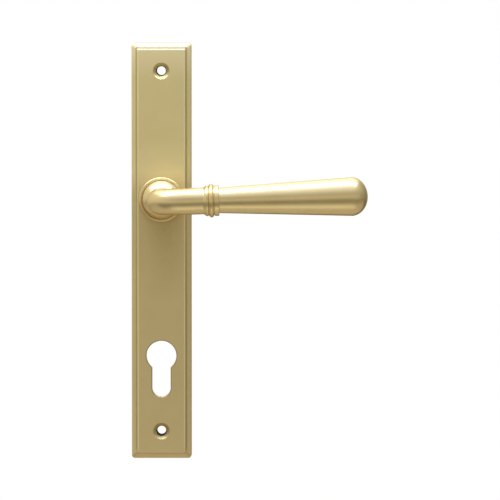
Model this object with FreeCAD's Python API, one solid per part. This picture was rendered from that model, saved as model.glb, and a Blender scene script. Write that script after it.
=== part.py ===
import FreeCAD, Part
import math
import os

# Lever handle on a long, slim backplate, for a multipoint door lock.
#
# One side of the door's handle set: a hollow brass backplate with a raised
# panel, two countersunk fixing holes and a profile-cylinder cut-out, and a
# round lever whose stem turns in a bushed rose. Behind the plate a round
# cassette holds a two-way torsion spring that brings the lever back to level.
# The door lock is driven by a square spindle that slides in the stem.
#
# Millimetres. The door's face is the plane y = 0 and the handle stands in
# front of it, towards -Y. Z is up, X points along the lever towards its tip,
# and the origin is where the spindle's axis leaves the back of the handle.

V = FreeCAD.Vector
PARTS = "parts"
PAST = 1.0  # how far a cutting shape runs beyond the faces it cuts

# Backplate
PLATE_HEIGHT = 245.0
PLATE_WIDTH = 35.5
PLATE_DEPTH = 13.0
PLATE_CORNER_R = 2.0
PANEL_CORNER_R = 1.0
WALL_DRAFT = 0.25  # the back edge stands this much outside the rim's edge
RIM_WIDTH = 2.75  # border between the rim's edge and the raised panel
RIM_FALL = 1.5  # the rim slopes back this much towards its edge
RIM_ROUND = 1.5
STEP_RUN = 0.8  # how far the panel's side leans inwards
STEP_HEIGHT = 2.2  # from the rim's inner edge to the face
PANEL_ROUND = 0.75
FACE_THICKNESS = 2.5
SIDE_WALL = 2.4
POCKET_CORNER_R = 1.5

# Fixing holes, on the plate's centre line
FIXING_SPACING = 212.0
UPPER_FIXING_Z = 75.5
FIXING_HOLE_R = 2.6
FIXING_MOUTH_R = 3.2  # where the hole meets the countersink
FIXING_TAPER = 5.0  # length over which the hole narrows behind the countersink
COUNTERSINK_R = 4.9
COUNTERSINK_SLOPE = 1.0  # a 90 degree countersink
FIXING_BOSS_R = 5.6

# Profile-cylinder cut-out
CYLINDER_DROP = 92.0  # from the lever's axis down to the cylinder's
CYLINDER_R = 8.8
CYLINDER_SLOT_WIDTH = 10.8
CYLINDER_SLOT_REACH = 24.4  # from the cylinder's axis to the slot's lowest point
CYLINDER_LIP = 1.6  # wall left standing round the cut-out behind the face
CYLINDER_LIP_DEPTH = 2.0
CYLINDER_EDGE = 0.35  # bevel round the cut-out in the panel's face

# Spindle and its spring clip
SPINDLE_SIDE = 8.0
SPINDLE_LENGTH = 110.0
SPINDLE_CHAMFER = 0.8
SPINDLE_FIT = 0.05  # all round, in the stem's square socket
SOCKET_DEPTH = 32.0
SOCKET_END_GAP = 0.5
CLIP_LENGTH = 18.0
CLIP_WIDTH = 4.0
CLIP_THICKNESS = 0.5
CLIP_BOW = 0.5
CLIP_SET_IN = 5.0  # from the spindle's inner end

# Lever stem and neck
STEM_R = 6.8
RUN_CLEARANCE = 0.05  # between turning and fixed round faces
NECK_R = 7.75
NECK_STANDOFF = 50.0  # from the door's face to the neck's axis
BEND_R = 11.0
NECK_LENGTH = 24.9  # from the spindle's axis to the collar
ARM_RISE = 1.7  # degrees that the arm points above level at rest
SKIRT_GAP = 0.3
SKIRT_RIM = 1.3
SKIRT_DOME = 4.4  # length over which the skirt curves in to the stem
SKIRT_CROWN = 0.35  # how far that curve stands out from a straight cone

# Rose and front bush
ROSE_R = 13.15
ROSE_BEAD = 1.8
ROSE_HEIGHT = 2.2
ROSE_FLOOR = 0.6
ROSE_SPIGOT_WALL = 1.4
BUSH_WALL = 1.3
SEAT_FIT = 0.02  # between round faces that are pressed or set together
BUSH_FLANGE = 0.5
BUSH_FLANGE_REACH = 2.1

# Collar between neck and grip
COLLAR_COVE = 1.2  # lengths along the arm, in order from the neck
COLLAR_RING = 2.1
COLLAR_BEAD = 2.9
COLLAR_GROOVE = 0.3
COLLAR_BAND = 2.7
COLLAR_BEAD_RISE = 1.95  # the large bead's crest above the neck
COLLAR_RING_RISE = 1.15  # the ring and the flat band
COLLAR_GROOVE_RISE = 0.65
COLLAR_EDGE = 0.45
COLLAR_BORE_GAP = 0.2

# Grip and the stud that holds it
GRIP_NARROW_R = 7.35
GRIP_WIDE_R = 11.25
GRIP_TAPER = 77.5
GRIP_DOME = 8.9
GRIP_DOME_FALL = 0.9  # how far the dome would narrow if it kept its first slope
GRIP_DOME_FULLNESS = 0.74  # 0 would be a flat cone and 1 nearly a square end
STUD_R = 3.0
STUD_IN_NECK = 11.0
STUD_IN_GRIP = 14.0
STUD_HOLE_EXTRA = 1.0
THREAD_FIT = 0.03

# Spring cassette
HOUSING_WALL = 1.0
HOUSING_FLOOR = 0.8
HOUSING_GAP = 0.2  # round the cassette, in the plate's pocket
COVER_THICKNESS = 0.8
AXIAL_GAP = 0.3
EAR_WIDTH = 8.0
EAR_THICKNESS = 1.5
SCREW_SPACING = 34.0
SCREW_R = 1.5
SCREW_LENGTH = 6.5
SCREW_HEAD_R = 2.8
SCREW_HEAD = 1.6
SCREW_SLOT = 0.7
SCREW_HOLE_EXTRA = 1.0
SCREW_HOLE_GAP = 0.2
CASSETTE_BOSS_R = 3.4

# Torsion spring
WIRE = 1.2
SPRING_TURNS = 2
SPRING_TURN_GAP = 0.32  # along the axis, if the legs took up no part of a turn
SPRING_BEND_R = 1.5
SPRING_GAP = 0.3  # between the coil and the driver's hub
SPRING_SEAT = 0.05  # between each leg and what it bears on
LEG_TAIL = 0.7  # how far a leg runs out into the housing's rib

# Driver that turns with the stem
HUB_WALL = 1.1
KEY_FLAT = 0.5  # depth of the two flats on the stem
ARM_THICKNESS = 1.0
FINGER_WIDTH = 3.0
FINGER_THICKNESS = 0.8
FINGER_GAP = 0.2
RIB_GAP = 0.3
STOP_ANGLE = 45.5  # the lever's travel each way before a lug meets a block
STOP_LUG_HALF = 11.0
STOP_BLOCK_SPAN = 16.0

# Washers and circlip on the stem
REAR_FLANGE = 0.4
WASHER_GAP = 0.05
WASHER_BORE_GAP = 0.15
WAVE_THICKNESS = 0.25
WAVE_HEIGHT = 0.2
WAVES = 3
WASHER_THICKNESS = 0.5
WASHER_WIDTH = 2.6
WAVE_WIDTH = 2.1
CLIP_RING = 0.8
CLIP_RING_WIDTH = 1.8
GROOVE_DEPTH = 0.5
GROOVE_GAP = 0.05
STEM_TAIL = 0.55
EYE_R = 1.5
EYE_HOLE_R = 0.6
EYE_ANGLE = 15.0  # degrees from the circlip's gap to each eye

# Levels along Y that the pieces share, from the front backwards
plate_mid_z = UPPER_FIXING_Z - FIXING_SPACING / 2
lower_fixing_z = UPPER_FIXING_Z - FIXING_SPACING
panel_y = -PLATE_DEPTH
rim_y = panel_y + STEP_HEIGHT
rim_edge_y = rim_y + RIM_FALL
pocket_y = panel_y + FACE_THICKNESS
side_pocket_y = rim_y + FACE_THICKNESS
housing_floor_y = pocket_y + HOUSING_FLOOR
spring_front_y = housing_floor_y + SPRING_SEAT + WIRE / 2
spring_rear_y = spring_front_y + (WIRE + SPRING_TURN_GAP) * SPRING_TURNS
arm_front_y = spring_rear_y + WIRE / 2 + AXIAL_GAP
arm_rear_y = arm_front_y + ARM_THICKNESS
cover_y = arm_rear_y + AXIAL_GAP
cover_rear_y = cover_y + COVER_THICKNESS
rear_flange_y = cover_rear_y + REAR_FLANGE
wave_y = rear_flange_y + WASHER_GAP
wave_rear_y = wave_y + WAVE_THICKNESS + WAVE_HEIGHT
washer_y = wave_rear_y + WASHER_GAP
washer_rear_y = washer_y + WASHER_THICKNESS
groove_y = washer_rear_y
circlip_y = groove_y + GROOVE_GAP
groove_rear_y = circlip_y + CLIP_RING + GROOVE_GAP
stem_end_y = groove_rear_y + STEM_TAIL
skirt_y = panel_y - ROSE_FLOOR - BUSH_FLANGE - RUN_CLEARANCE

# Radii that the pieces share, from the axis outwards
bush_in_r = STEM_R + RUN_CLEARANCE
bush_out_r = bush_in_r + BUSH_WALL
spigot_r = bush_out_r + ROSE_SPIGOT_WALL
hub_r = bush_in_r + HUB_WALL
coil_r = hub_r + SPRING_GAP + WIRE / 2
finger_in_r = coil_r + WIRE / 2 + FINGER_GAP
finger_out_r = finger_in_r + FINGER_THICKNESS
rib_r = finger_out_r + RIB_GAP
housing_in_r = rib_r + LEG_TAIL + AXIAL_GAP
housing_r = housing_in_r + HOUSING_WALL
rose_bead_in_r = ROSE_R - ROSE_BEAD
skirt_r = rose_bead_in_r - SKIRT_GAP
socket_side = SPINDLE_SIDE + 2 * SPINDLE_FIT
spindle_in_y = stem_end_y - SOCKET_DEPTH + SOCKET_END_GAP
collar_length = COLLAR_COVE + COLLAR_RING + COLLAR_BEAD + COLLAR_GROOVE + COLLAR_BAND
collar_end = NECK_LENGTH + collar_length
ROUND_SHARE = 1 - math.sqrt(0.5)  # how far an arc's middle lies inside its square corner


def save(name, shape):
    """Writes one piece to its own STEP file."""
    shape.exportStep(os.path.join(PARTS, name + ".step"))


def cylinder(radius, y0, y1, x=0.0, z=0.0):
    """A solid cylinder along Y, from y0 to y1."""
    return Part.makeCylinder(radius, y1 - y0, V(x, y0, z), V(0, 1, 0))


def ring(inner, outer, y0, y1):
    """A washer-shaped solid about the spindle's axis."""
    return cylinder(outer, y0, y1).cut(cylinder(inner, y0 - PAST, y1 + PAST))


def block(x0, x1, y0, y1, z0, z1):
    """A box between two corners."""
    return Part.makeBox(x1 - x0, y1 - y0, z1 - z0, V(x0, y0, z0))


def sector(inner, outer, y0, y1, centre_angle, half_angle):
    """A piece of a ring about Y. Angles are in degrees, from -Z towards +X."""
    whole = ring(inner, outer, y0, y1)
    reach = 2 * outer
    corners = [V(0, y0 - PAST, 0)]
    for angle in (centre_angle - half_angle, centre_angle, centre_angle + half_angle):
        a = math.radians(angle)
        corners.append(V(reach * math.sin(a), y0 - PAST, -reach * math.cos(a)))
    wedge = Part.Face(Part.makePolygon(corners + corners[:1]))
    return whole.common(wedge.extrude(V(0, y1 - y0 + 2 * PAST, 0)))


def rounded_rectangle(width, height, radius, y):
    """A wire in the plane y, centred on the plate."""
    w, h = width / 2, height / 2
    k = radius * ROUND_SHARE
    edges = []
    for sx, sz in ((1, 1), (-1, 1), (-1, -1), (1, -1)):
        arc = [(w, h - radius), (w - k, h - k), (w - radius, h)]
        if sx * sz < 0:
            arc.reverse()
        points = [V(sx * x, y, plate_mid_z + sz * z) for x, z in arc]
        edges.append(Part.Arc(*points).toShape())
    for i in range(4):
        start = edges[i].Vertexes[-1].Point
        end = edges[(i + 1) % 4].Vertexes[0].Point
        edges.append(Part.makeLine(start, end))
    return Part.Wire(Part.__sortEdges__(edges))


def frustum(inset0, y0, inset1, y1):
    """The plate's outline drawn in by two amounts at two depths, and filled between."""
    wires = []
    for inset, y in ((inset0, y0), (inset1, y1)):
        corner = max(PLATE_CORNER_R - inset, PANEL_CORNER_R)
        wires.append(rounded_rectangle(PLATE_WIDTH - 2 * inset, PLATE_HEIGHT - 2 * inset, corner, y))
    return Part.makeLoft(wires, True, True)


def pocket(half_width, half_height, y):
    """A round-cornered hollow, cut from the back of the plate to depth y."""
    wire = rounded_rectangle(2 * half_width, 2 * half_height, POCKET_CORNER_R, y)
    return Part.Face(wire).extrude(V(0, PAST - y, 0))


def cylinder_profile(grow, y0, y1):
    """The profile cylinder's outline, grown all round, as a solid along Y."""
    z = -CYLINDER_DROP
    half = CYLINDER_SLOT_WIDTH / 2
    slot_z = z - CYLINDER_SLOT_REACH + half
    solid = cylinder(CYLINDER_R + grow, y0, y1, 0, z)
    solid = solid.fuse(block(-half - grow, half + grow, y0, y1, slot_z, z))
    return solid.fuse(cylinder(half + grow, y0, y1, 0, slot_z)).removeSplitter()


def edges_at(shape, y, inset):
    """Edges that lie in the plane y on the outline drawn in by inset."""
    w, h = PLATE_WIDTH / 2 - inset, PLATE_HEIGHT / 2 - inset
    found = []
    for edge in shape.Edges:
        box = edge.BoundBox
        on_plane = abs(box.YMin - y) < 1e-4 and abs(box.YMax - y) < 1e-4
        far = max(abs(box.XMin), abs(box.XMax)) > w - 1e-3
        tall = max(abs(box.ZMin - plate_mid_z), abs(box.ZMax - plate_mid_z)) > h - 1e-3
        if on_plane and (far or tall):
            found.append(edge)
    return found


def cut_out_edges(shape):
    """The edges of the cylinder cut-out in the panel's face."""
    low, high = -CYLINDER_DROP - CYLINDER_SLOT_REACH, -CYLINDER_DROP + CYLINDER_R
    found = []
    for edge in shape.Edges:
        box = edge.BoundBox
        on_plane = abs(box.YMin - panel_y) < 1e-4 and abs(box.YMax - panel_y) < 1e-4
        if on_plane and box.ZMin > low - 1e-3 and box.ZMax < high + 1e-3 and box.XMax < CYLINDER_R + 1e-3:
            found.append(edge)
    return found


def fixing_hole(z):
    """A countersunk hole through the plate, to be cut away."""
    depth = (COUNTERSINK_R - FIXING_MOUTH_R) * COUNTERSINK_SLOPE
    inwards = V(0, 1, 0)
    hole = cylinder(FIXING_HOLE_R, panel_y - PAST, PAST, 0, z)
    sink = Part.makeCone(COUNTERSINK_R, FIXING_MOUTH_R, depth, V(0, panel_y, z), inwards)
    taper = Part.makeCone(FIXING_MOUTH_R, FIXING_HOLE_R, FIXING_TAPER, V(0, panel_y + depth, z), inwards)
    return hole.fuse(sink).fuse(taper)


def backplate():
    """Hollow casting: rim, raised panel, bosses for the fixings and the cassette."""
    rim_inset = WALL_DRAFT
    foot_inset = rim_inset + RIM_WIDTH
    panel_inset = foot_inset + STEP_RUN
    base = frustum(0, 0, rim_inset, rim_edge_y)
    base = base.fuse(frustum(rim_inset, rim_edge_y, foot_inset, rim_y)).removeSplitter()
    base = base.makeFillet(RIM_ROUND, edges_at(base, rim_edge_y, rim_inset))
    panel = frustum(foot_inset, rim_y, panel_inset, panel_y)
    panel = panel.makeFillet(PANEL_ROUND, edges_at(panel, panel_y, panel_inset))
    body = base.fuse(panel).removeSplitter()

    side = PLATE_WIDTH / 2 - SIDE_WALL
    end = PLATE_HEIGHT / 2 - SIDE_WALL
    deep_step = foot_inset + STEP_RUN / 2 - WALL_DRAFT
    body = body.cut(pocket(side, end, side_pocket_y))
    body = body.cut(pocket(side - deep_step, end - deep_step, pocket_y))
    body = body.cut(cylinder(housing_r + HOUSING_GAP, pocket_y, PAST))

    inside = frustum(rim_inset, 0, panel_inset, rim_y)
    bosses = []
    for z in (UPPER_FIXING_Z, lower_fixing_z):
        bosses.append(cylinder(FIXING_BOSS_R, pocket_y, 0, 0, z))
        far = z + math.copysign(PLATE_HEIGHT, z - plate_mid_z)
        rib = block(-SIDE_WALL / 2, SIDE_WALL / 2, pocket_y, side_pocket_y / 2, min(z, far), max(z, far))
        bosses.append(rib.common(inside))
    boss_y = cover_y - EAR_THICKNESS
    for z in (SCREW_SPACING / 2, -SCREW_SPACING / 2):
        boss = cylinder(CASSETTE_BOSS_R, pocket_y, boss_y, 0, z)
        bosses.append(boss.cut(cylinder(housing_r + HOUSING_GAP, pocket_y, boss_y)))
    lip = cylinder_profile(CYLINDER_LIP, pocket_y, pocket_y + CYLINDER_LIP_DEPTH)
    bosses.append(lip)
    for piece in bosses:
        body = body.fuse(piece)
    body = body.removeSplitter()

    for z in (UPPER_FIXING_Z, lower_fixing_z):
        body = body.cut(fixing_hole(z))
    body = body.cut(cylinder_profile(0, panel_y - PAST, PAST))
    body = body.makeChamfer(CYLINDER_EDGE, cut_out_edges(body))
    body = body.cut(cylinder(spigot_r + SEAT_FIT, panel_y - PAST, pocket_y + PAST))
    tip_y = cover_rear_y - SCREW_LENGTH - SCREW_HOLE_EXTRA
    for z in (SCREW_SPACING / 2, -SCREW_SPACING / 2):
        body = body.cut(cylinder(SCREW_R + THREAD_FIT, tip_y, PAST, 0, z))
    return body


def turned(profile, axis):
    """A solid of revolution about the Y axis or the X axis.

    profile is a list of edges in the plane that holds X and Y.
    """
    face = Part.Face(Part.Wire(profile))
    return face.revolve(V(0, 0, 0), axis, 360)


def outline(points):
    """Edges through points (x, y). A point with a third item bulges from the one before.

    The third item is the arc's middle point.
    """
    edges = []
    for before, here in zip(points, points[1:] + points[:1]):
        start, end = V(before[0], before[1], 0), V(here[0], here[1], 0)
        if len(here) > 2:
            edges.append(Part.Arc(start, V(here[2][0], here[2][1], 0), end).toShape())
        else:
            edges.append(Part.makeLine(start, end))
    return edges


def rose_collar():
    """Turned ring on the panel: a raised bead round the lever's skirt, and a spigot."""
    crest_y = panel_y - ROSE_HEIGHT
    shoulder_y = crest_y + ROSE_BEAD / 2
    middle_r = ROSE_R - ROSE_BEAD / 2
    points = [
        (bush_out_r + SEAT_FIT, pocket_y),
        (spigot_r, pocket_y),
        (spigot_r, panel_y),
        (ROSE_R, panel_y),
        (ROSE_R, shoulder_y),
        (rose_bead_in_r, shoulder_y, (middle_r, crest_y)),
        (rose_bead_in_r, panel_y - ROSE_FLOOR),
        (bush_out_r + SEAT_FIT, panel_y - ROSE_FLOOR),
    ]
    return turned(outline(points), V(0, 1, 0))


def front_bush():
    """Flanged plastic bush that the stem turns in at the front."""
    floor_y = panel_y - ROSE_FLOOR
    sleeve = ring(bush_in_r, bush_out_r, floor_y, pocket_y)
    flange = ring(bush_in_r, bush_out_r + BUSH_FLANGE_REACH, floor_y - BUSH_FLANGE, floor_y)
    return sleeve.fuse(flange).removeSplitter()


def ear_slab(y0, y1):
    """A round-ended strip that carries the two cassette screws."""
    half, reach = EAR_WIDTH / 2, SCREW_SPACING / 2
    slab = block(-half, half, y0, y1, -reach, reach)
    for z in (reach, -reach):
        slab = slab.fuse(cylinder(half, y0, y1, 0, z))
    return slab


def screw_holes(shape):
    """Clearance holes for the cassette screws, cut through a slab."""
    for z in (SCREW_SPACING / 2, -SCREW_SPACING / 2):
        shape = shape.cut(cylinder(SCREW_R + SCREW_HOLE_GAP, pocket_y, 0, 0, z))
    return shape


def cassette_housing():
    """Round cup with ears, a rib that holds the spring's legs, and two stop blocks."""
    cup = cylinder(housing_r, pocket_y, cover_y)
    cup = cup.fuse(ear_slab(cover_y - EAR_THICKNESS, cover_y))
    cup = cup.cut(cylinder(housing_in_r, housing_floor_y, cover_y + PAST))
    cup = cup.cut(cylinder(bush_out_r, pocket_y - PAST, housing_floor_y + PAST))
    rib = block(-FINGER_WIDTH / 2, FINGER_WIDTH / 2, housing_floor_y, cover_y, -housing_r, 0)
    pieces = [rib.common(ring(rib_r, housing_r, pocket_y, cover_y))]
    block_centre = STOP_LUG_HALF + STOP_ANGLE + STOP_BLOCK_SPAN / 2
    for side in (1, -1):
        angle = 180 + side * block_centre
        pieces.append(sector(rib_r, housing_r, housing_floor_y, cover_y, angle, STOP_BLOCK_SPAN / 2))
    for piece in pieces:
        cup = cup.fuse(piece)
    return screw_holes(cup.removeSplitter())


def cassette_cover():
    """Flat lid with the same outline as the housing, bored for the rear bush."""
    lid = cylinder(housing_r, cover_y, cover_rear_y).fuse(ear_slab(cover_y, cover_rear_y))
    lid = lid.cut(cylinder(bush_out_r + SEAT_FIT, cover_y - PAST, cover_rear_y + PAST))
    return screw_holes(lid.removeSplitter())


def rear_bush():
    """Flanged plastic bush in the cover's bore."""
    sleeve = ring(bush_in_r, bush_out_r, cover_y, rear_flange_y)
    flange = ring(bush_in_r, bush_out_r + BUSH_FLANGE_REACH / 2, cover_rear_y, rear_flange_y)
    return sleeve.fuse(flange).removeSplitter()


def cassette_screw(z):
    """Slotted pan-head screw through the cover and the ear into the plate's boss."""
    head_y = cover_rear_y + SCREW_HEAD
    shank = cylinder(SCREW_R, cover_rear_y - SCREW_LENGTH, cover_rear_y, 0, z)
    head = cylinder(SCREW_HEAD_R, cover_rear_y, head_y, 0, z)
    rim = [e for e in head.Edges if abs(e.BoundBox.YMin - head_y) < 1e-4]
    head = head.makeFillet(SCREW_HEAD / 2, rim)
    slot = block(-SCREW_HEAD_R, SCREW_HEAD_R, head_y - SCREW_HEAD / 2, head_y + PAST,
                 z - SCREW_SLOT / 2, z + SCREW_SLOT / 2)
    return shank.fuse(head).removeSplitter().cut(slot)


def biarc(start, start_way, end, end_way):
    """Two arcs that join two points and meet each other smoothly.

    The ways are the unit directions of travel at the two points.
    """
    gap = end - start
    both = start_way + end_way
    spread = 2 * (1 - start_way.dot(end_way))
    reach = 2 * gap.dot(both)
    size = gap.dot(gap)
    if spread < 1e-9:
        arm = size / reach
    else:
        arm = (math.sqrt(reach ** 2 + 4 * spread * size) - reach) / (2 * spread)
    corners = (start + start_way * arm, end - end_way * arm)
    meeting = (corners[0] + corners[1]) * 0.5
    edges = []
    for a, corner, b in ((start, corners[0], meeting), (meeting, corners[1], end)):
        turn = (corner - a).normalize().dot((b - a).normalize())
        middle = (a + b + corner * (2 * turn)) * (1 / (2 + 2 * turn))
        edges.append(Part.Arc(a, middle, b).toShape())
    return edges


def return_spring():
    """Two-way torsion spring: both legs rest on the housing's rib and the driver's finger."""
    leg_x = FINGER_WIDTH / 2 + SPRING_SEAT + WIRE / 2
    bend_x = leg_x + SPRING_BEND_R
    bend_z = math.sqrt((coil_r + SPRING_BEND_R) ** 2 - bend_x ** 2)
    tip_z = math.sqrt(housing_in_r ** 2 - (leg_x + WIRE / 2) ** 2) - AXIAL_GAP
    first = math.asin(bend_x / (coil_r + SPRING_BEND_R))
    last = 2 * math.pi * SPRING_TURNS - first
    climb = spring_rear_y - spring_front_y

    points, ways = [], []
    quarters = 4 * SPRING_TURNS
    for i in range(quarters + 1):
        angle = first + (last - first) * i / quarters
        y = spring_front_y + climb * i / quarters
        points.append(V(coil_r * math.sin(angle), y, -coil_r * math.cos(angle)))
        way = V(coil_r * math.cos(angle), climb / (last - first), coil_r * math.sin(angle))
        ways.append(way.normalize())

    tip, knee = V(leg_x, spring_front_y, -tip_z), V(leg_x, spring_front_y, -bend_z)
    end_knee, end_tip = V(-leg_x, spring_rear_y, -bend_z), V(-leg_x, spring_rear_y, -tip_z)
    edges = [Part.makeLine(tip, knee)]
    edges += biarc(knee, V(0, 0, 1), points[0], ways[0])
    for i in range(quarters):
        edges += biarc(points[i], ways[i], points[i + 1], ways[i + 1])
    edges += biarc(points[-1], ways[-1], end_knee, V(0, 0, -1))
    edges.append(Part.makeLine(end_knee, end_tip))
    path = Part.Wire(edges)
    section = Part.Wire(Part.makeCircle(WIRE / 2, tip, V(0, 0, 1)))
    spring = path.makePipeShell([section], True, False)
    turn_climb = climb * 2 * math.pi / (last - first)
    expected = math.pi * (WIRE / 2) ** 2 * path.Length
    print("spring: volume %.2f, section times length %.2f" % (spring.Volume, expected))
    print("spring: gap between turns %.2f" % (turn_climb - WIRE))
    return spring


def keyed(shape, clearance):
    """Trims a shape of the stem's size to the two flats that the driver is keyed to."""
    half = STEM_R - KEY_FLAT + clearance
    keep = block(-half, half, pocket_y, PAST, -housing_r, housing_r)
    return shape.common(keep)


def spring_driver():
    """Hub keyed to the stem, with a finger between the spring's legs and a stop lug."""
    hub = cylinder(hub_r, housing_floor_y + SPRING_SEAT, arm_rear_y)
    arm = sector(hub_r - HUB_WALL / 2, finger_out_r, arm_front_y, arm_rear_y, 0, STOP_LUG_HALF)
    lug_r = housing_in_r - AXIAL_GAP
    lug = sector(hub_r - HUB_WALL / 2, lug_r, arm_front_y, arm_rear_y, 180, STOP_LUG_HALF)
    finger = block(-FINGER_WIDTH / 2, FINGER_WIDTH / 2, housing_floor_y + AXIAL_GAP, arm_rear_y,
                   -housing_r, 0)
    finger = finger.common(ring(finger_in_r, finger_out_r, pocket_y, arm_rear_y))
    driver = hub.fuse(arm).fuse(lug).fuse(finger).removeSplitter()
    return driver.cut(keyed(cylinder(bush_in_r, pocket_y, PAST), RUN_CLEARANCE))


def tilted(shape):
    """Turns a piece of the arm up about the spindle's axis to its rest angle."""
    shape.rotate(V(0, 0, 0), V(0, 1, 0), -ARM_RISE)
    return shape


def lever_neck():
    """Stem, domed skirt, bend and neck in one casting, with the square socket."""
    stem_top_y = -NECK_STANDOFF + BEND_R
    dome_y = skirt_y - SKIRT_RIM
    neck_y = dome_y - SKIRT_DOME
    lean = math.atan2(SKIRT_DOME, skirt_r - NECK_R)
    crown_r = (skirt_r + NECK_R) / 2 + SKIRT_CROWN * math.sin(lean)
    crown_y = (dome_y + neck_y) / 2 - SKIRT_CROWN * math.cos(lean)
    groove_r = STEM_R - GROOVE_DEPTH
    points = [
        (0, stem_end_y),
        (STEM_R, stem_end_y),
        (STEM_R, groove_rear_y),
        (groove_r, groove_rear_y),
        (groove_r, groove_y),
        (STEM_R, groove_y),
        (STEM_R, skirt_y),
        (skirt_r, skirt_y),
        (skirt_r, dome_y),
        (NECK_R, neck_y, (crown_r, crown_y)),
        (NECK_R, stem_top_y),
        (0, stem_top_y),
    ]
    stem = turned(outline(points), V(0, 1, 0))
    flats = cylinder(STEM_R + PAST, housing_floor_y + SPRING_SEAT, stem_end_y + PAST)
    stem = stem.cut(flats.cut(keyed(flats, 0)))

    bend = Part.Face(Part.Wire(Part.makeCircle(NECK_R, V(0, stem_top_y, 0), V(0, 1, 0))))
    bend = bend.revolve(V(BEND_R, stem_top_y, 0), V(0, 0, 1), 90)
    neck = Part.makeCylinder(NECK_R, NECK_LENGTH - BEND_R, V(BEND_R, -NECK_STANDOFF, 0), V(1, 0, 0))
    hole_depth = STUD_IN_NECK + STUD_HOLE_EXTRA
    stud_hole = Part.makeCylinder(
        STUD_R + THREAD_FIT, hole_depth, V(NECK_LENGTH - hole_depth, -NECK_STANDOFF, 0), V(1, 0, 0)
    )
    arm = tilted(bend.fuse(neck).cut(stud_hole))
    half = socket_side / 2
    socket = block(-half, half, stem_end_y - SOCKET_DEPTH, stem_end_y + PAST, -half, half)
    return stem.fuse(arm).removeSplitter().cut(socket)


def on_arm(profile):
    """Turns edges of (distance along the arm, radius) into a piece of the arm."""
    solid = turned(profile, V(1, 0, 0))
    solid.translate(V(0, -NECK_STANDOFF, 0))
    return tilted(solid)


def grip_collar():
    """Beaded ring clamped between neck and grip."""
    groove_r = NECK_R + COLLAR_GROOVE_RISE
    band_r = NECK_R + COLLAR_RING_RISE
    bore_r = STUD_R + COLLAR_BORE_GAP
    ring_x = NECK_LENGTH + COLLAR_COVE
    bead_x = ring_x + COLLAR_RING
    groove_x = bead_x + COLLAR_BEAD
    band_x = groove_x + COLLAR_GROOVE
    soft = COLLAR_EDGE * ROUND_SHARE
    points = [
        (NECK_LENGTH, bore_r),
        (NECK_LENGTH, NECK_R),
        (ring_x, groove_r, (ring_x - COLLAR_COVE / 2, NECK_R + COLLAR_GROOVE_RISE / 3)),
        (bead_x, groove_r, (bead_x - COLLAR_RING / 2, band_r)),
        (groove_x, groove_r, (groove_x - COLLAR_BEAD / 2, NECK_R + COLLAR_BEAD_RISE)),
        (band_x, groove_r),
        (band_x, band_r - COLLAR_EDGE),
        (band_x + COLLAR_EDGE, band_r, (band_x + soft, band_r - soft)),
        (collar_end - COLLAR_EDGE, band_r),
        (collar_end, band_r - COLLAR_EDGE, (collar_end - soft, band_r - soft)),
        (collar_end, bore_r),
    ]
    return on_arm(outline(points))


def lever_grip():
    """Tapered grip with a domed end, drilled for the stud."""
    wide_x = collar_end + GRIP_TAPER
    tip_x = wide_x + GRIP_DOME
    dome = Part.BezierCurve()
    dome.setPoles([V(wide_x, GRIP_WIDE_R, 0), V(tip_x, GRIP_WIDE_R - GRIP_DOME_FALL, 0), V(tip_x, 0, 0)])
    dome.setWeight(2, GRIP_DOME_FULLNESS)
    corners = [V(tip_x, 0, 0), V(collar_end, 0, 0)]
    corners += [V(collar_end, GRIP_NARROW_R, 0), V(wide_x, GRIP_WIDE_R, 0)]
    profile = [Part.makeLine(a, b) for a, b in zip(corners, corners[1:])]
    grip = on_arm(profile + [dome.toShape()])
    depth = STUD_IN_GRIP + STUD_HOLE_EXTRA
    hole = Part.makeCylinder(STUD_R + THREAD_FIT, depth, V(collar_end, -NECK_STANDOFF, 0), V(1, 0, 0))
    return grip.cut(tilted(hole))


def grip_stud():
    """Threaded rod that draws the grip against the collar and the neck."""
    start = NECK_LENGTH - STUD_IN_NECK
    length = STUD_IN_NECK + collar_length + STUD_IN_GRIP
    return tilted(Part.makeCylinder(STUD_R, length, V(start, -NECK_STANDOFF, 0), V(1, 0, 0)))


def wave_washer():
    """Thin waved ring that takes up end play on the stem."""
    inner = STEM_R + WASHER_BORE_GAP
    outer = inner + WAVE_WIDTH
    flat = ring(inner, outer, wave_y, wave_y + WAVE_THICKNESS + WAVE_HEIGHT)
    half = 90 / WAVES
    for i in range(WAVES):
        angle = i * 360 / WAVES
        high_y = wave_y + WAVE_THICKNESS
        low = sector(inner - PAST, outer + PAST, wave_y - PAST, wave_y + WAVE_HEIGHT, angle, half)
        high = sector(inner - PAST, outer + PAST, high_y, wave_rear_y + PAST, angle + 2 * half, half)
        flat = flat.cut(low).cut(high)
    return flat


def thrust_washer():
    """Flat steel washer under the circlip."""
    inner = STEM_R + WASHER_BORE_GAP
    return ring(inner, inner + WASHER_WIDTH, washer_y, washer_rear_y)


def retaining_circlip():
    """External circlip in the stem's groove, with an eye each side of its gap."""
    inner = STEM_R - GROOVE_DEPTH + WASHER_GAP
    outer = inner + CLIP_RING_WIDTH
    rear_y = circlip_y + CLIP_RING
    clip = ring(inner, outer, circlip_y, rear_y)
    eyes = []
    for side in (1, -1):
        a = math.radians(side * EYE_ANGLE)
        eyes.append((outer * math.sin(a), -outer * math.cos(a)))
    for x, z in eyes:
        clip = clip.fuse(cylinder(EYE_R, circlip_y, rear_y, x, z))
    clip = clip.removeSplitter()
    clip = clip.cut(cylinder(inner, circlip_y - PAST, rear_y + PAST))
    gap_half = EYE_ANGLE / 2
    clip = clip.cut(sector(1, outer + 2 * EYE_R, circlip_y - PAST, rear_y + PAST, 0, gap_half))
    for x, z in eyes:
        clip = clip.cut(cylinder(EYE_HOLE_R, circlip_y - PAST, rear_y + PAST, x, z))
    return clip


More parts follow.
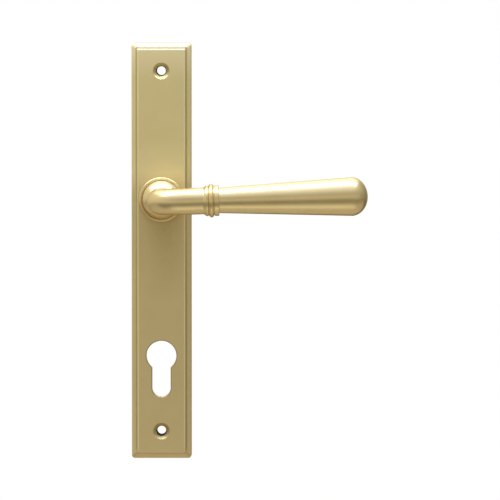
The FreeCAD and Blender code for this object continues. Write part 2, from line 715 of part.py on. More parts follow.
def spindle():
    """Square bar with bevelled ends and a seat for its spring clip."""
    half = SPINDLE_SIDE / 2
    bar = block(-half, half, spindle_in_y, spindle_in_y + SPINDLE_LENGTH, -half, half)
    ends = [e for e in bar.Edges if e.BoundBox.YLength < 1e-6]
    bar = bar.makeChamfer(SPINDLE_CHAMFER, ends)
    seat_y = spindle_in_y + CLIP_SET_IN
    seat = block(-CLIP_WIDTH / 2 - SPINDLE_FIT, CLIP_WIDTH / 2 + SPINDLE_FIT, seat_y,
                 seat_y + CLIP_LENGTH, half - CLIP_BOW - CLIP_THICKNESS, half + PAST)
    return bar.cut(seat)


def spindle_clip():
    """Bowed strip of spring steel that grips the socket."""
    y0 = spindle_in_y + CLIP_SET_IN + SPINDLE_FIT
    y1 = y0 + CLIP_LENGTH - 2 * SPINDLE_FIT
    mid_y = (y0 + y1) / 2
    low = SPINDLE_SIDE / 2 - CLIP_BOW - CLIP_THICKNESS
    x = -CLIP_WIDTH / 2
    under = Part.Arc(V(x, y0, low), V(x, mid_y, low + CLIP_BOW), V(x, y1, low)).toShape()
    top = low + CLIP_THICKNESS
    over = Part.Arc(V(x, y0, top), V(x, mid_y, top + CLIP_BOW), V(x, y1, top)).toShape()
    ends = [Part.makeLine(V(x, y, low), V(x, y, top)) for y in (y0, y1)]
    face = Part.Face(Part.Wire(Part.__sortEdges__([under, over] + ends)))
    return face.extrude(V(CLIP_WIDTH, 0, 0))


def main():
    os.makedirs(PARTS, exist_ok=True)
    pieces = {
        "backplate": backplate(),
        "rose_collar": rose_collar(),
        "front_bush": front_bush(),
        "cassette_housing": cassette_housing(),
        "cassette_cover": cassette_cover(),
        "rear_bush": rear_bush(),
        "cassette_screw_upper": cassette_screw(SCREW_SPACING / 2),
        "cassette_screw_lower": cassette_screw(-SCREW_SPACING / 2),
        "return_spring": return_spring(),
        "spring_driver": spring_driver(),
        "lever_neck": lever_neck(),
        "grip_collar": grip_collar(),
        "lever_grip": lever_grip(),
        "grip_stud": grip_stud(),
        "wave_washer": wave_washer(),
        "thrust_washer": thrust_washer(),
        "retaining_circlip": retaining_circlip(),
        "spindle": spindle(),
        "spindle_clip": spindle_clip(),
    }
    for name, shape in pieces.items():
        save(name, shape)


main()
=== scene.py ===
import math

import bpy
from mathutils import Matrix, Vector

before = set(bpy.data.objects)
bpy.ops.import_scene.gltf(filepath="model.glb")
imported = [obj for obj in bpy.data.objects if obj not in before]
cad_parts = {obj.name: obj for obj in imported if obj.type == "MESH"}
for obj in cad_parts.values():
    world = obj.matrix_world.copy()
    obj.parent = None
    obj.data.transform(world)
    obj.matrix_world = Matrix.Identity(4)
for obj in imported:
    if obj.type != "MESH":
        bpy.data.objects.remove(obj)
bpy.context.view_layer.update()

# Camera, in metres, with the scale that the plate's face has in the photograph
IMAGE_PIXELS = 500
FACE_PIXELS_PER_METRE = 1701.4
SENSOR_WIDTH_MM = 36.0
CAMERA_DISTANCE = 3.0
CAMERA_ELEVATION = math.radians(3.0)
CAMERA_TARGET = Vector((0.05210, -0.013, -0.0297))
CLIP_NEAR = 0.05
CLIP_FAR = 20.0

# Radiance of the studio against elevation in degrees: its front, its right, and its left and back
ROOM_FRONT = (
    (-90, 1.10),
    (-55, 0.82),
    (-40, 0.34),
    (-28, (0.21, 0.19, 0.155)),
    (-15, (0.20, 0.18, 0.145)),
    (-4, 0.63),
    (8, 0.57),
    (20, 0.36),
    (35, (0.59, 0.62, 0.70)),
    (55, (0.95, 1.05, 1.55)),
    (90, (0.92, 1.02, 1.45)),
)
ROOM_RIGHT = (
    (-90, 0.60),
    (-55, 0.51),
    (-40, 0.49),
    (-28, 0.35),
    (-15, 0.15),
    (-4, 0.30),
    (8, 0.30),
    (20, 0.44),
    (35, 0.61),
    (55, (0.40, 0.43, 0.53)),
    (90, (0.92, 1.02, 1.45)),
)
ROOM_LEFT = (
    (-90, 0.40),
    (-55, 0.14),
    (-40, 0.13),
    (-28, 0.11),
    (-15, 0.16),
    (-4, 0.60),
    (8, 0.70),
    (20, 0.72),
    (35, (0.74, 0.77, 0.84)),
    (55, (0.70, 0.77, 1.00)),
    (90, (0.92, 1.02, 1.45)),
)

# Shares of the front and the right, and dimming behind, against bearing, 90 degrees on the right
FRONT_SHARE = ((-75, 0.0), (-25, 1.0), (45, 1.0), (90, 0.0))
RIGHT_SHARE = ((-1, 0.0), (1, 1.0), (135, 1.0), (180, 0.0))
DIM_SHARE = ((95, 1.0), (130, 0.7), (172, 0.7), (180, 1.0))

# How much of the white backdrop gloss and glass see, against bearing and against elevation
BACKDROP_SHARE = ((-180, 0.3), (-150, 0.1), (-100, 0.0), (135, 0.0), (180, 0.3))
BACKDROP_FOOT = ((-15, 0.0), (-4, 1.0))
WHITE = (1.0, 1.0, 1.0)

# Soft boxes overhead: name, x from and to, y from and to, height, radiance
SOFT_BOXES = (
    ("near_left_box", -0.30, 0.00, -0.15, 0.00, 0.30, 4.0),
    ("near_right_box", 0.00, 0.30, -0.12, 0.00, 0.30, 3.5),
    ("ceiling_box", -0.85, 0.65, -0.15, 1.10, 0.75, 0.75),
)
SOFT_BOX_TINT = (1.0, 1.13, 1.48)

# Floor, an L-shaped sheet of paper
FLOOR_HEIGHT = -0.45
FLOOR_SIDE = 1.6
FLOOR_FRONT = -0.20
FLOOR_BACK_RIGHT = 0.40
FLOOR_BACK_LEFT = 1.5
FLOOR_TONES = ((0.53, 0.46, 0.35), (0.57, 0.50, 0.38))
FLOOR_WAVES = 12.0
FLOOR_ROUGHNESS = 0.9

# Noise stays mostly between these values
NOISE_RANGE = (0.3, 0.7)
# Rays and reach in metres with which recesses and edges are felt
RECESS_RAYS = 8
EDGE_RAYS = 6
BRASS_RECESS = 0.004
SMALL_RECESS = 0.003
EDGE_RADIUS = 0.0004

# Brushed grain: waves to the metre on each axis, few along the lines and many across them
GRAIN_ACROSS = 2600.0
GRAIN_ALONG = 45.0
UPRIGHT_GRAIN = (GRAIN_ACROSS, GRAIN_ACROSS, GRAIN_ALONG)
LEVEL_GRAIN = (GRAIN_ALONG, GRAIN_ACROSS, GRAIN_ACROSS)
GRAIN_DETAIL = 3.0
GRAIN_DEPTH = 0.000005
GRAIN_STRENGTH = 0.3

# Brass colours: deep and pale tones and a gloss tint, then worn edges that also give the painted
# highlight along the plate's step, the painted reflection above the rose, painted light near the plate's
# top and on the lever's foot, painted shade, painted shade under the top rim, near-black painted shade in
# the deepest hollows and bores, and tarnish
LEVER_TONES = ((0.845, 0.645, 0.275), (0.875, 0.675, 0.305))
PLATE_TONES = ((0.86, 0.705, 0.295), (0.89, 0.735, 0.325))
BRASS_GLOSS = (0.86, 0.72, 0.42)
# Worn edges, and also the painted highlight along the plate's step
BRASS_WEAR_AND_HIGHLIGHT = (1.0, 0.86, 0.46)
# Painted reflection of light on the plate above the rose
BRASS_PAINTED_REFLECTION = (1.0, 0.81, 0.37)
# Painted light near the plate's top
BRASS_PAINTED_TOP_LIGHT = (1.0, 0.83, 0.41)
# Painted light on the lever's foot
BRASS_PAINTED_LIGHT = (1.0, 0.87, 0.50)
# Painted shade at the step, cut-out, countersinks and below the rose
BRASS_PAINTED_SHADE = (0.50, 0.365, 0.125)
# Painted shade on the strip under the top rim
BRASS_PAINTED_LEDGE_SHADE = (0.38, 0.30, 0.14)
# Near-black painted shade in the deepest hollows and in the bores
BRASS_PAINTED_DEEP_SHADE = (0.030, 0.021, 0.010)
BRASS_TARNISH = (0.24, 0.165, 0.065)

# Brass finish: coat, tone, and where openness and edges make tarnish with painted shade, and polish
BRASS_COAT = 0.4
BRASS_COAT_ROUGHNESS = 0.25
BRASS_TONE_WAVES = 70.0
BRASS_TONE_DETAIL = 4.0
TARNISH_AND_SHADE_OPENNESS = (0.10, 0.50)
TARNISH_AND_SHADE_STOPS = ((0.12, BRASS_PAINTED_DEEP_SHADE), (0.40, BRASS_TARNISH))
TARNISH_AND_SHADE_ROUGHNESS = 0.25
EDGE_TURN = (0.02, 0.20)
EDGE_OPENNESS = (0.6, 0.9)
EDGE_POLISH = 0.08
# Metallic where the lever's foot gets painted light
PAINTED_LIGHT_METALLIC = 0.35
SMUDGE_WAVES = 160.0
SMUDGE_DETAIL = 3.0
SMUDGE_RANGE = (0.35, 0.75)
SMUDGE_ROUGHNESS = (-0.015, 0.02)

# Places on the plate, in metres: holes, cut-out, and the step between panel and rim
UPPER_HOLE = 0.0755
LOWER_HOLE = -0.1365
BARREL_HEIGHT = -0.092
BARREL_R = 0.0088
SLOT_FOOT = -0.111
SLOT_R = 0.0054
STEP_HALF_WIDTH = 0.0146
STEP_HALF_HEIGHT = 0.11935
STEP_CENTRE = -0.0305

# Painted light and shade on the plate's brass against height in metres, within this reach of the origin:
# darker below the lever, lighter above it and at the lower end, and darkened by half on the top face
PAINTED_LIGHT_REACH = 0.16
PLATE_LIGHT_BY_HEIGHT = (
    (-0.150, (0.965, 0.905, 0.90)),
    (-0.110, (0.90, 0.848, 0.825)),
    (-0.060, (0.895, 0.843, 0.82)),
    (0.0, (0.91, 0.865, 0.85)),
    (0.030, (0.975, 0.965, 0.95)),
    (0.0912, (0.975, 0.965, 0.95)),
    (0.0918, (0.50, 0.48, 0.44)),
)

# Small patches that make the plate's painted reflection and painted shade uneven
PATCH_WAVES = 420.0
PATCH_DETAIL = 3.0
PATCH_RANGE = (0.2, 0.6)
PATCH_LEAST = 0.80

# Painted light on the plate: a highlight along the panel's edge, a reflection above the rose and light
# near the top; the heights, distances and radii in metres between which each mask fades
FOOT_HEIGHTS = (-0.149, -0.146)
FOOT_LEAST = 0.3
# Painted highlight along the panel's rounded edge, just inside the step
STEP_LIP = -0.00085
LIP_FADE = (0.0002, 0.0006)
LIP_STRENGTH = 0.9
ABOVE_ROSE = (0.002, 0.016)
# Painted reflection above the rose, fading out from the spindle's axis
REFLECTION_RADII = (0.01315, 0.036)
# Painted light near the top of the face, up to the top face
TOP_LIGHT_HEIGHTS = (0.0720, 0.0885)
TOP_FACE = (0.0912, 0.0918)

# Painted shade on the plate, likewise: step, cut-out, countersinks, below the rose, top ledge, and the
# bores painted black
STEP_FADE = (0.0003, 0.0008)
STEP_STRENGTH = 0.75
CUT_OUT_FADE = (0.0004, 0.0007)
SINK_RADII = (0.0047, 0.0050)
SINK_HEIGHTS = (-0.0035, -0.0005)
SINK_STRENGTH = 0.65
SHADE_RADII = (0.020, 0.062)
SHADE_STRENGTH = 0.55
SHADE_MIDDLE = 0.003
SHADE_ASIDE = (0.002, 0.012)
SHADE_LEAST = 0.5
# Painted shade on the strip under the top rim, across the panel's width
LEDGE_HEIGHT = 0.0890
LEDGE_FADE = (0.0004, 0.0008)
LEDGE_ENDS = (0.0146, 0.0154)
LEDGE_STRENGTH = 0.95
# The bores, painted black as painted shade
BORE_RADII = (0.00295, 0.00315)

# Painted shade kept in the groove round the lever's foot, most on the left and below, and a share of the
# hollows' tarnish and painted shade on the lever further out from the spindle's axis
GROOVE_INNER = (0.0085, 0.0105)
GROOVE_OUTER = (0.0145, 0.0155)
GROOVE_SIDE = (-0.8, 0.0, -0.6)
GROOVE_REACH = (-0.0060, 0.0108)
GROOVE_LEAST = 0.1
OUTER_STRENGTH = 0.4

# Painted light on the lever's foot, paler and less metallic: its groove, the dome's underside and the
# stem's top
FOOT_DEPTHS = (-0.030, -0.026)
GROOVE_RADIUS = 0.0113
GROOVE_FADE = (0.0005, 0.0015)
FOOT_RADII = (0.0095, 0.0108)
DOME_HEIGHTS = (-0.0095, -0.0075)
DOME_STRENGTH = 0.6
STEM_HEIGHTS = (0.0066, 0.0074)
STEM_DEPTHS = (-0.050, -0.044)


def feed(socket, value):
    """Links an output to an input, or sets the input's own value."""
    if isinstance(value, bpy.types.NodeSocket):
        socket.id_data.links.new(value, socket)
    elif socket.type == "RGBA":
        socket.default_value = (*value, 1.0)
    else:
        socket.default_value = value


def add(tree, kind, inputs=None, **settings):
    """A node with its settings made and its inputs fed."""
    node = tree.nodes.new("ShaderNode" + kind)
    for name, value in settings.items():
        setattr(node, name, value)
    for key, value in (inputs or {}).items():
        feed(node.inputs[key], value)
    return node


def calc(tree, operation, first, second=0.0):
    return add(tree, "Math", {0: first, 1: second}, operation=operation).outputs[0]


def minus(tree, first, second):
    return calc(tree, "SUBTRACT", first, second)


def product(tree, first, *others):
    """All the values multiplied."""
    for value in others:
        first = calc(tree, "MULTIPLY", first, value)
    return first


def largest(tree, first, *others):
    for value in others:
        first = calc(tree, "MAXIMUM", first, value)
    return first


def away_from(tree, value, centre=0.0):
    """How far a value is from a centre, on either side."""
    return calc(tree, "ABSOLUTE", minus(tree, value, centre))


def spread(tree, value, low, high, new_low, new_high):
    """Value moved from one range to another, and held inside it."""
    inputs = {"Value": value, "From Min": low, "From Max": high, "To Min": new_low, "To Max": new_high}
    return add(tree, "MapRange", inputs).outputs["Result"]


def rise(tree, value, reach, top=1.0):
    """0 below a range, and top above it."""
    return spread(tree, value, *reach, 0.0, top)


def fall(tree, value, reach, top=1.0):
    """Top below a range, and 0 above it."""
    return spread(tree, value, *reach, top, 0.0)


def vector_calc(tree, operation, first, second, output=0):
    return add(tree, "VectorMath", {0: first, 1: second}, operation=operation).outputs[output]


def parts(tree, vector):
    """The outputs X, Y and Z of a vector."""
    return add(tree, "SeparateXYZ", {0: vector}).outputs


def ramp(tree, factor, stops):
    """A colour ramp through (position, grey or colour) stops."""
    node = add(tree, "ValToRGB", {"Fac": factor})
    points = node.color_ramp.elements
    while len(points) < len(stops):
        points.new(1.0)
    for point, (position, value) in zip(points, stops):
        point.position = position
        colour = value if isinstance(value, tuple) else (value, value, value)
        point.color = (*colour, 1.0)
    return node.outputs["Color"]


def blend_colour(tree, factor, first, second, blend_type="MIX"):
    """Two colours mixed: the last two keys are the colour sockets of the Mix node."""
    inputs = {0: factor, 6: first, 7: second}
    return add(tree, "Mix", inputs, data_type="RGBA", blend_type=blend_type).outputs[2]


def tint(tree, colour, by):
    """One colour multiplied by another."""
    return blend_colour(tree, 1.0, colour, by, "MULTIPLY")


def by_elevation(tree, height, table):
    """A ramp over the height of a direction, -1 to 1 laid on 0 to 1."""
    stops = [((math.sin(math.radians(degrees)) + 1.0) / 2.0, value) for degrees, value in table]
    return ramp(tree, height, stops)


def by_bearing(tree, turn, table):
    """A ramp over the bearing of a direction, -180 to 180 degrees laid on 0 to 1."""
    return ramp(tree, turn, [(degrees / 360.0 + 0.5, value) for degrees, value in table])


def build_world():
    """A softly graded studio, with a white backdrop that the camera, gloss and glass see."""
    world = bpy.data.worlds.new("studio")
    world.use_nodes = True
    tree = world.node_tree
    tree.nodes.clear()
    direction = parts(tree, add(tree, "TexCoord").outputs["Generated"])
    height = spread(tree, direction["Z"], -1.0, 1.0, 0.0, 1.0)
    bearing = calc(tree, "ARCTAN2", direction["X"], product(tree, direction["Y"], -1.0))
    turn = spread(tree, bearing, -math.pi, math.pi, 0.0, 1.0)
    front = by_elevation(tree, height, ROOM_FRONT)
    right = by_elevation(tree, height, ROOM_RIGHT)
    left = by_elevation(tree, height, ROOM_LEFT)
    sides = blend_colour(tree, by_bearing(tree, turn, RIGHT_SHARE), left, right)
    room = blend_colour(tree, by_bearing(tree, turn, FRONT_SHARE), sides, front)
    room = tint(tree, room, by_bearing(tree, turn, DIM_SHARE))
    over_floor = by_elevation(tree, height, BACKDROP_FOOT)
    backdrop = product(tree, by_bearing(tree, turn, BACKDROP_SHARE), over_floor)
    ray = add(tree, "LightPath").outputs
    mirrored = largest(tree, ray["Is Glossy Ray"], ray["Is Transmission Ray"])
    shows_white = largest(tree, ray["Is Camera Ray"], product(tree, mirrored, backdrop))
    lit = add(tree, "Background", {"Color": room}).outputs[0]
    white = add(tree, "Background", {"Color": WHITE}).outputs[0]
    shown = add(tree, "MixShader", {0: shows_white, 1: lit, 2: white}).outputs[0]
    add(tree, "OutputWorld", {"Surface": shown})
    bpy.context.scene.world = world


def build_lamps():
    """The soft boxes overhead."""
    for name, x_from, x_to, y_from, y_to, height, radiance in SOFT_BOXES:
        light = bpy.data.lights.new(name, "AREA")
        light.shape = "RECTANGLE"
        light.size = x_to - x_from
        light.size_y = y_to - y_from
        light.color = SOFT_BOX_TINT
        light.energy = radiance * math.pi * light.size * light.size_y
        lamp = bpy.data.objects.new(name, light)
        lamp.location = ((x_from + x_to) / 2, (y_from + y_to) / 2, height)
        lamp.visible_camera = False
        bpy.context.scene.collection.objects.link(lamp)


def build_camera():
    """The photograph's view: nearly level, straight at the plate, from far away."""
    data = bpy.data.cameras.new("camera")
    data.sensor_width = SENSOR_WIDTH_MM
    data.lens = FACE_PIXELS_PER_METRE * CAMERA_DISTANCE * SENSOR_WIDTH_MM / IMAGE_PIXELS
    data.clip_start = CLIP_NEAR
    data.clip_end = CLIP_FAR
    camera = bpy.data.objects.new("camera", data)
    away = Vector((0.0, -math.cos(CAMERA_ELEVATION), math.sin(CAMERA_ELEVATION)))
    camera.location = CAMERA_TARGET + away * CAMERA_DISTANCE
    camera.rotation_euler = (-away).to_track_quat("-Z", "Y").to_euler()
    bpy.context.scene.collection.objects.link(camera)
    bpy.context.scene.camera = camera


def start_material(name):
    """A new material, its tree, its shader and the piece's own coordinates in metres."""
    material = bpy.data.materials.new(name)
    material.use_nodes = True
    tree = material.node_tree
    return material, tree, tree.nodes["Principled BSDF"], add(tree, "TexCoord").outputs["Object"]


def noise(tree, place, scale, detail=2.0, stretch=None):
    """Noise with so many waves to the metre, or with that many along each axis."""
    if stretch:
        place = add(tree, "Mapping", {"Vector": place, "Scale": stretch}).outputs["Vector"]
    inputs = {"Vector": place, "Scale": scale, "Detail": detail}
    return add(tree, "TexNoise", inputs).outputs["Fac"]


def raise_bump(tree, shader, height, distance, strength):
    inputs = {"Height": height, "Distance": distance, "Strength": strength}
    feed(shader.inputs["Normal"], add(tree, "Bump", inputs).outputs["Normal"])


def openness(tree, distance):
    """1 in the open and 0 deep in a recess of the piece itself."""
    node = add(tree, "AmbientOcclusion", {"Distance": distance}, samples=RECESS_RAYS, only_local=True)
    return node.outputs["AO"]


def edge_mask(tree):
    """1 along edges and 0 on flats."""
    soft = add(tree, "Bevel", {"Radius": EDGE_RADIUS}, samples=EDGE_RAYS).outputs["Normal"]
    flat = add(tree, "NewGeometry").outputs["Normal"]
    return rise(tree, minus(tree, 1.0, vector_calc(tree, "DOT_PRODUCT", soft, flat, "Value")), EDGE_TURN)


def on_face(tree, place):
    """A place moved straight to the door's face, where only x and z count."""
    return vector_calc(tree, "MULTIPLY", place, (1.0, 0.0, 1.0))


def axis_distance(tree, place, height=0.0):
    """Distance from the line into the door at a height over the spindle's axis."""
    return vector_calc(tree, "DISTANCE", on_face(tree, place), (0.0, 0.0, height), "Value")


def hole_distance(tree, place):
    """Distance from the axis of the nearer fixing hole."""
    upper = axis_distance(tree, place, UPPER_HOLE)
    return calc(tree, "MINIMUM", upper, axis_distance(tree, place, LOWER_HOLE))


def hole_height(tree, height):
    """Height above the nearer fixing hole's axis."""
    is_upper = calc(tree, "GREATER_THAN", height, 0.0)
    return minus(tree, height, spread(tree, is_upper, 0.0, 1.0, LOWER_HOLE, UPPER_HOLE))


def cut_out_distance(tree, place):
    """Distance outside the cylinder's cut-out: the barrel's circle and the rounded slot under it."""
    barrel = minus(tree, axis_distance(tree, place, BARREL_HEIGHT), BARREL_R)
    limits = {"Value": parts(tree, place)["Z"], "Min": SLOT_FOOT, "Max": BARREL_HEIGHT}
    spine = add(tree, "CombineXYZ", {"Z": add(tree, "Clamp", limits).outputs[0]}).outputs[0]
    slot = vector_calc(tree, "DISTANCE", on_face(tree, place), spine, "Value")
    return calc(tree, "MINIMUM", barrel, minus(tree, slot, SLOT_R))


def step_distance(tree, place):
    """Distance outwards from the middle of the step between panel and rim."""
    across = minus(tree, away_from(tree, parts(tree, place)["X"]), STEP_HALF_WIDTH)
    along = minus(tree, away_from(tree, parts(tree, place)["Z"], STEP_CENTRE), STEP_HALF_HEIGHT)
    return largest(tree, across, along)


def patches(tree, place):
    """Small patches that make painted reflection and painted shade uneven."""
    return spread(tree, noise(tree, place, PATCH_WAVES, PATCH_DETAIL), *PATCH_RANGE, PATCH_LEAST, 1.0)


def over_foot(tree, height):
    """Less at the plate's lower end, and 1 above it."""
    return spread(tree, height, *FOOT_HEIGHTS, FOOT_LEAST, 1.0)


def plate_painted_light(tree, place):
    """Painted light on the plate: a highlight along its step, a reflection above the rose, and light near
    its top.
    """
    height = parts(tree, place)["Z"]
    # Painted highlight along the panel's rounded edge, in the colour of worn brass, less at the plate's
    # lower end
    lip = fall(tree, away_from(tree, step_distance(tree, place), STEP_LIP), LIP_FADE, LIP_STRENGTH)
    edge = product(tree, lip, over_foot(tree, height))
    # Painted reflection of the lever's light on the plate above the rose, uneven in small patches
    near_rose = fall(tree, axis_distance(tree, place), REFLECTION_RADII)
    reflection_above_rose = product(tree, rise(tree, height, ABOVE_ROSE), near_rose, patches(tree, place))
    # Painted light near the top of the face, stopping at the top face
    top_light = product(tree, rise(tree, height, TOP_LIGHT_HEIGHTS), fall(tree, height, TOP_FACE))
    return edge, reflection_above_rose, top_light


def plate_painted_shade(tree, place):
    """Painted shade on the plate, and painted shade on the strip under its top rim."""
    axes = parts(tree, place)
    height = axes["Z"]
    # Painted shade: a dark line along the step's foot, less at the plate's lower end
    step = fall(tree, away_from(tree, step_distance(tree, place)), STEP_FADE, STEP_STRENGTH)
    step = product(tree, step, over_foot(tree, height))
    # Painted shade round and inside the cylinder's cut-out
    cut_out = fall(tree, cut_out_distance(tree, place), CUT_OUT_FADE)
    # Painted shade in the upper half of each countersink
    sink = fall(tree, hole_distance(tree, place), SINK_RADII, SINK_STRENGTH)
    sink = product(tree, sink, rise(tree, hole_height(tree, height), SINK_HEIGHTS))
    # Painted shade below the rose, strongest a little right of the spindle's axis
    shade = fall(tree, axis_distance(tree, place), SHADE_RADII, SHADE_STRENGTH)
    aside = spread(tree, away_from(tree, axes["X"], SHADE_MIDDLE), *SHADE_ASIDE, 1.0, SHADE_LEAST)
    shade = product(tree, shade, fall(tree, height, ABOVE_ROSE), aside)
    # All this painted shade, made uneven by small patches
    painted_shade = product(tree, largest(tree, step, cut_out, sink, shade), patches(tree, place))
    # Painted shade on the strip under the top rim, across the panel's width
    ledge = fall(tree, away_from(tree, height, LEDGE_HEIGHT), LEDGE_FADE, LEDGE_STRENGTH)
    ledge = product(tree, ledge, fall(tree, away_from(tree, axes["X"]), LEDGE_ENDS))
    return painted_shade, ledge


def plate_colour(tree, place, colour):
    """The plate's brass with painted light and shade by height, painted highlight, reflection and light,
    and painted shade.
    """
    # Painted light and shade by height: darker below the lever, lighter above it, and darkened by half on
    # the top face
    height = spread(tree, parts(tree, place)["Z"], -PAINTED_LIGHT_REACH, PAINTED_LIGHT_REACH, 0.0, 1.0)
    stops = [(z / (2.0 * PAINTED_LIGHT_REACH) + 0.5, value) for z, value in PLATE_LIGHT_BY_HEIGHT]
    colour = tint(tree, colour, ramp(tree, height, stops))
    edge, reflection_above_rose, top_light = plate_painted_light(tree, place)
    # Painted reflection above the rose
    colour = blend_colour(tree, reflection_above_rose, colour, BRASS_PAINTED_REFLECTION)
    # Painted light near the top
    colour = blend_colour(tree, top_light, colour, BRASS_PAINTED_TOP_LIGHT)
    # Painted highlight along the panel's rounded edge
    colour = blend_colour(tree, edge, colour, BRASS_WEAR_AND_HIGHLIGHT)
    painted_shade, ledge = plate_painted_shade(tree, place)
    # Painted shade at the step, cut-out, countersinks and below the rose
    colour = blend_colour(tree, painted_shade, colour, BRASS_PAINTED_SHADE)
    # Painted shade on the strip under the top rim
    return blend_colour(tree, ledge, colour, BRASS_PAINTED_LEDGE_SHADE)


def groove_painted_shade(tree, place):
    """How much of the hollows' tarnish and painted shade stays: in the foot's groove painted shade, most
    on the left and below.
    """
    around = axis_distance(tree, place)
    side = vector_calc(tree, "DOT_PRODUCT", place, GROOVE_SIDE, "Value")
    # Painted shade kept most on the left and below
    shaded_side = spread(tree, side, *GROOVE_REACH, GROOVE_LEAST, 1.0)
    groove = product(tree, rise(tree, around, GROOVE_INNER), shaded_side)
    return largest(tree, groove, rise(tree, around, GROOVE_OUTER, OUTER_STRENGTH))


def foot_painted_light(tree, place, hollow_dark):
    """Painted light on the lever's foot: the groove's side away from its painted shade, the dome's
    underside and the stem's top.
    """
    axes = parts(tree, place)
    around = axis_distance(tree, place)
    groove = fall(tree, away_from(tree, around, GROOVE_RADIUS), GROOVE_FADE)
    groove = product(tree, groove, minus(tree, 1.0, hollow_dark))
    inside = fall(tree, around, FOOT_RADII)
    dome = product(tree, inside, fall(tree, axes["Z"], DOME_HEIGHTS, DOME_STRENGTH))
    foot = product(tree, largest(tree, groove, dome), rise(tree, axes["Y"], FOOT_DEPTHS))
    stem = product(tree, inside, rise(tree, axes["Z"], STEM_HEIGHTS), rise(tree, axes["Y"], STEM_DEPTHS))
    return largest(tree, foot, stem)


def satin_brass(name, grain, tones, metallic, roughness, is_plate=False):
    """Lacquered satin brass: soft tone, fine grain, worn edges, tarnish with painted shade in recesses,
    and painted light and shade on the plate and on the lever's foot.
    """
    material, tree, shader, place = start_material(name)
    shader.inputs["Coat Weight"].default_value = BRASS_COAT
    shader.inputs["Coat Roughness"].default_value = BRASS_COAT_ROUGHNESS
    feed(shader.inputs["Specular Tint"], BRASS_GLOSS)
    # Tarnish and painted shade in the piece's own hollows
    free = openness(tree, BRASS_RECESS)
    tarnish_and_shade = fall(tree, free, TARNISH_AND_SHADE_OPENNESS)
    worn = product(tree, edge_mask(tree), rise(tree, free, EDGE_OPENNESS))
    cloud = noise(tree, place, BRASS_TONE_WAVES, BRASS_TONE_DETAIL)
    colour = blend_colour(tree, worn, ramp(tree, cloud, tuple(zip(NOISE_RANGE, tones))), BRASS_WEAR_AND_HIGHLIGHT)
    if is_plate:
        colour = plate_colour(tree, place, colour)
        # The fixing holes' bores painted near black as painted shade, with no metal and no coat there
        bore = fall(tree, hole_distance(tree, place), BORE_RADII)
        tarnish_and_shade = largest(tree, tarnish_and_shade, bore)
        open_metal = minus(tree, 1.0, bore)
        free = product(tree, free, open_metal)
        feed(shader.inputs["Metallic"], product(tree, open_metal, metallic))
        feed(shader.inputs["Coat Weight"], product(tree, open_metal, BRASS_COAT))
    else:
        # On the lever, painted shade kept in the foot's groove, most on its left and lower side, and a
        # share of the hollows' tarnish and painted shade further out
        hollow_dark = groove_painted_shade(tree, place)
        tarnish_and_shade = product(tree, tarnish_and_shade, hollow_dark)
        # Painted light on the lever's foot: paler and less metallic on the groove's side away from its
        # painted shade, the dome's underside and the stem's top
        foot_light = foot_painted_light(tree, place, hollow_dark)
        colour = blend_colour(tree, foot_light, colour, BRASS_PAINTED_LIGHT)
        feed(shader.inputs["Metallic"], spread(tree, foot_light, 0.0, 1.0, metallic, PAINTED_LIGHT_METALLIC))
    # Tarnish and painted shade in hollows, near black in the deepest ones and in the bores
    colour = blend_colour(tree, tarnish_and_shade, colour, ramp(tree, free, TARNISH_AND_SHADE_STOPS))
    feed(shader.inputs["Base Color"], colour)
    lines = noise(tree, place, 1.0, GRAIN_DETAIL, grain)
    smudge = noise(tree, place, SMUDGE_WAVES, SMUDGE_DETAIL)
    smudge = spread(tree, smudge, *SMUDGE_RANGE, *SMUDGE_ROUGHNESS)
    rough = calc(tree, "ADD", spread(tree, lines, *NOISE_RANGE, *roughness), smudge)
    rough = minus(tree, rough, product(tree, worn, EDGE_POLISH))
    rough = calc(tree, "ADD", rough, product(tree, tarnish_and_shade, TARNISH_AND_SHADE_ROUGHNESS))
    feed(shader.inputs["Roughness"], rough)
    raise_bump(tree, shader, lines, GRAIN_DEPTH, GRAIN_STRENGTH)
    return material


def plain_finish(name, cloud, tones, skin, roughness, bump, sockets, hollow_darkening=None):
    """A finish with cloudy tone, and with roughness and bump from one fine skin.

    cloud and skin are (scale, detail, stretch) of a noise, tones are ramp stops, bump is (depth,
    strength), sockets are constants of the shader, and the last, darkening in hollows, is (openness
    range, strength, colour).
    """
    material, tree, shader, place = start_material(name)
    for socket, value in sockets.items():
        shader.inputs[socket].default_value = value
    colour = ramp(tree, noise(tree, place, *cloud), tones)
    # Darker in hollows, by how closed in each point is
    if hollow_darkening:
        reach, strength, hollow_dark = hollow_darkening
        recess = fall(tree, openness(tree, SMALL_RECESS), reach, strength)
        colour = blend_colour(tree, recess, colour, hollow_dark)
    feed(shader.inputs["Base Color"], colour)
    texture = noise(tree, place, *skin)
    feed(shader.inputs["Roughness"], spread(tree, texture, *NOISE_RANGE, *roughness))
    raise_bump(tree, shader, texture, *bump)
    return material


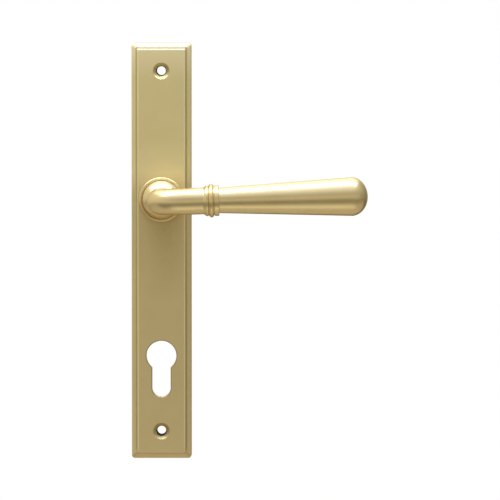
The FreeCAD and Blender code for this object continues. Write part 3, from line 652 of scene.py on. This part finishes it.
def build_floor():
    """A pale floor below the picture's edge."""
    corners = [
        (-FLOOR_SIDE, FLOOR_FRONT, FLOOR_HEIGHT),
        (FLOOR_SIDE, FLOOR_FRONT, FLOOR_HEIGHT),
        (FLOOR_SIDE, FLOOR_BACK_RIGHT, FLOOR_HEIGHT),
        (0.0, FLOOR_BACK_RIGHT, FLOOR_HEIGHT),
        (0.0, FLOOR_BACK_LEFT, FLOOR_HEIGHT),
        (-FLOOR_SIDE, FLOOR_BACK_LEFT, FLOOR_HEIGHT),
    ]
    mesh = bpy.data.meshes.new("floor")
    mesh.from_pydata(corners, [], [tuple(range(len(corners)))])
    floor = bpy.data.objects.new("floor", mesh)
    bpy.context.scene.collection.objects.link(floor)
    material, tree, shader, place = start_material("floor_paper")
    stops = tuple(zip(NOISE_RANGE, FLOOR_TONES))
    feed(shader.inputs["Base Color"], ramp(tree, noise(tree, place, FLOOR_WAVES), stops))
    shader.inputs["Roughness"].default_value = FLOOR_ROUGHNESS
    mesh.materials.append(material)


bpy.context.scene.view_settings.view_transform = "Standard"
build_camera()
build_world()
build_lamps()
build_floor()

# Brass, brushed upright on the plate and along the lever
brass_upright = satin_brass(
    "satin_brass_upright",
    grain=UPRIGHT_GRAIN,
    tones=PLATE_TONES,
    metallic=0.60,
    roughness=(0.44, 0.50),
    is_plate=True,
)
brass_level = satin_brass(
    "satin_brass_level",
    grain=LEVEL_GRAIN,
    tones=LEVER_TONES,
    metallic=0.84,
    roughness=(0.29, 0.32),
)

# Bright zinc plate on turned or stamped steel, with a faint passivation tint and fine scratches
plated_steel = plain_finish(
    "plated_steel",
    cloud=(90.0, 4.0),
    tones=((0.25, (0.52, 0.53, 0.56)), (0.50, (0.58, 0.58, 0.57)), (0.75, (0.61, 0.59, 0.53))),
    skin=(1.0, 3.0, (900.0, 160.0, 2400.0)),
    roughness=(0.24, 0.40),
    bump=(0.00003, 0.4),
    sockets={"Metallic": 1.0},
    hollow_darkening=((0.10, 0.55), 0.7, (0.10, 0.10, 0.09)),
)

# Dark steel, bluish under its oil
spring_steel = plain_finish(
    "spring_steel",
    cloud=(140.0, 4.0),
    tones=((0.3, (0.30, 0.30, 0.33)), (0.7, (0.42, 0.41, 0.40))),
    skin=(1400.0, 3.0),
    roughness=(0.28, 0.46),
    bump=(0.00003, 0.3),
    sockets={"Metallic": 1.0, "Coat Weight": 0.25, "Coat Roughness": 0.25},
)

# Matt die casting: a grainy skin with flow marks
zinc_casting = plain_finish(
    "zinc_casting",
    cloud=(1.0, 4.0, (60.0, 60.0, 130.0)),
    tones=((0.3, (0.48, 0.49, 0.51)), (0.7, (0.60, 0.60, 0.61))),
    skin=(2200.0, 3.0),
    roughness=(0.48, 0.66),
    bump=(0.00006, 0.5),
    sockets={"Metallic": 1.0},
    hollow_darkening=((0.10, 0.60), 0.6, (0.14, 0.14, 0.14)),
)

# Moulded nylon, off-white, with a fine matt texture
nylon = plain_finish(
    "nylon",
    cloud=(110.0, 3.0),
    tones=((0.3, (0.78, 0.76, 0.69)), (0.7, (0.86, 0.85, 0.80))),
    skin=(3000.0, 2.0),
    roughness=(0.42, 0.60),
    bump=(0.00004, 0.4),
    sockets={"Subsurface Weight": 0.12, "Subsurface Radius": (0.002, 0.0017, 0.0014)},
)

FINISHES = {
    "backplate": brass_upright,
    "rose_collar": brass_level,
    "lever_neck": brass_level,
    "grip_collar": brass_level,
    "lever_grip": brass_level,
    "cassette_cover": plated_steel,
    "cassette_screw_upper": plated_steel,
    "cassette_screw_lower": plated_steel,
    "grip_stud": plated_steel,
    "thrust_washer": plated_steel,
    "spindle": plated_steel,
    "return_spring": spring_steel,
    "wave_washer": spring_steel,
    "retaining_circlip": spring_steel,
    "spindle_clip": spring_steel,
    "cassette_housing": zinc_casting,
    "spring_driver": zinc_casting,
    "front_bush": nylon,
    "rear_bush": nylon,
}
for name, finish in FINISHES.items():
    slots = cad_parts[name].data.materials
    slots.clear()
    slots.append(finish)
